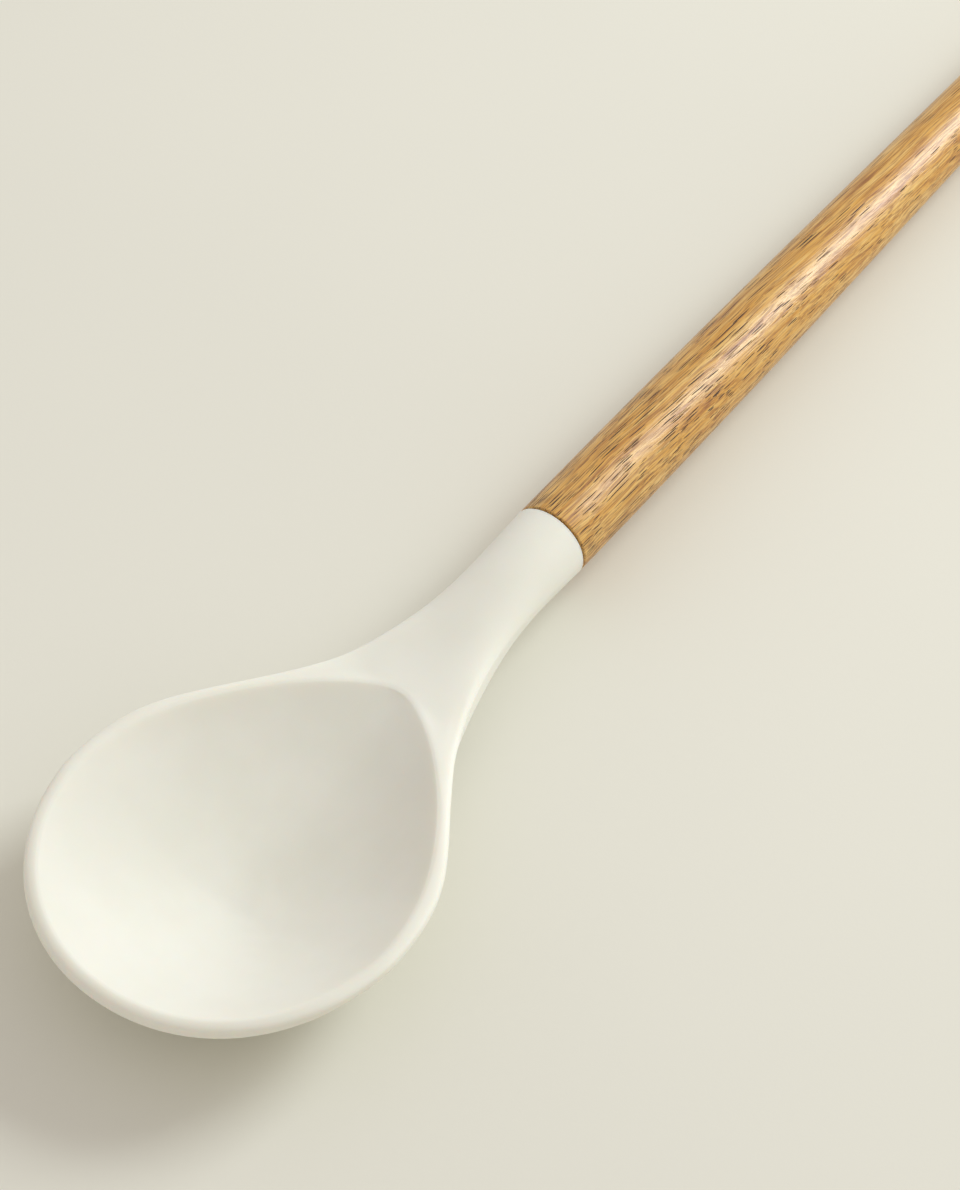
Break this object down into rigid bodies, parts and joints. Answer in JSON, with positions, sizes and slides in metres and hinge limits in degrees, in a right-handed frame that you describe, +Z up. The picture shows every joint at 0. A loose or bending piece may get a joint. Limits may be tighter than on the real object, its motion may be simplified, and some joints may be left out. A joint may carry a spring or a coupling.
{
  "type": "cooking spoon",
  "caption": "Long cooking spoon: deep egg-shaped silicone bowl with a rounded rim on a flattened neck, moulded round a stiff core and set on a slim turned wooden handle.",
  "frame": {"origin": "on the table under the middle of the spoon as it lies at rest: the middle of the bounding box's bottom face", "axes": "+X along the handle from the bowl to the butt, +Y across the spoon, +Z up out of the bowl's hollow"},
  "size_m": [0.329, 0.07, 0.0195],
  "materials": {
    "silicone": "warm white moulded silicone, soft matte, slightly translucent at thin edges",
    "core_nylon": "grey glass-filled nylon, matte, hidden inside the head",
    "rod_steel": "turned stainless steel with glue grooves, hidden inside the joint",
    "handle_wood": "warm golden-brown hardwood with dark pore flecks along the grain, satin varnish"
  },
  "bodies": {
    "root": {"silicone_head": "silicone", "head_core": "core_nylon", "tang_rod": "rod_steel", "wooden_handle": "handle_wood"}
  },
  "joints": []
}
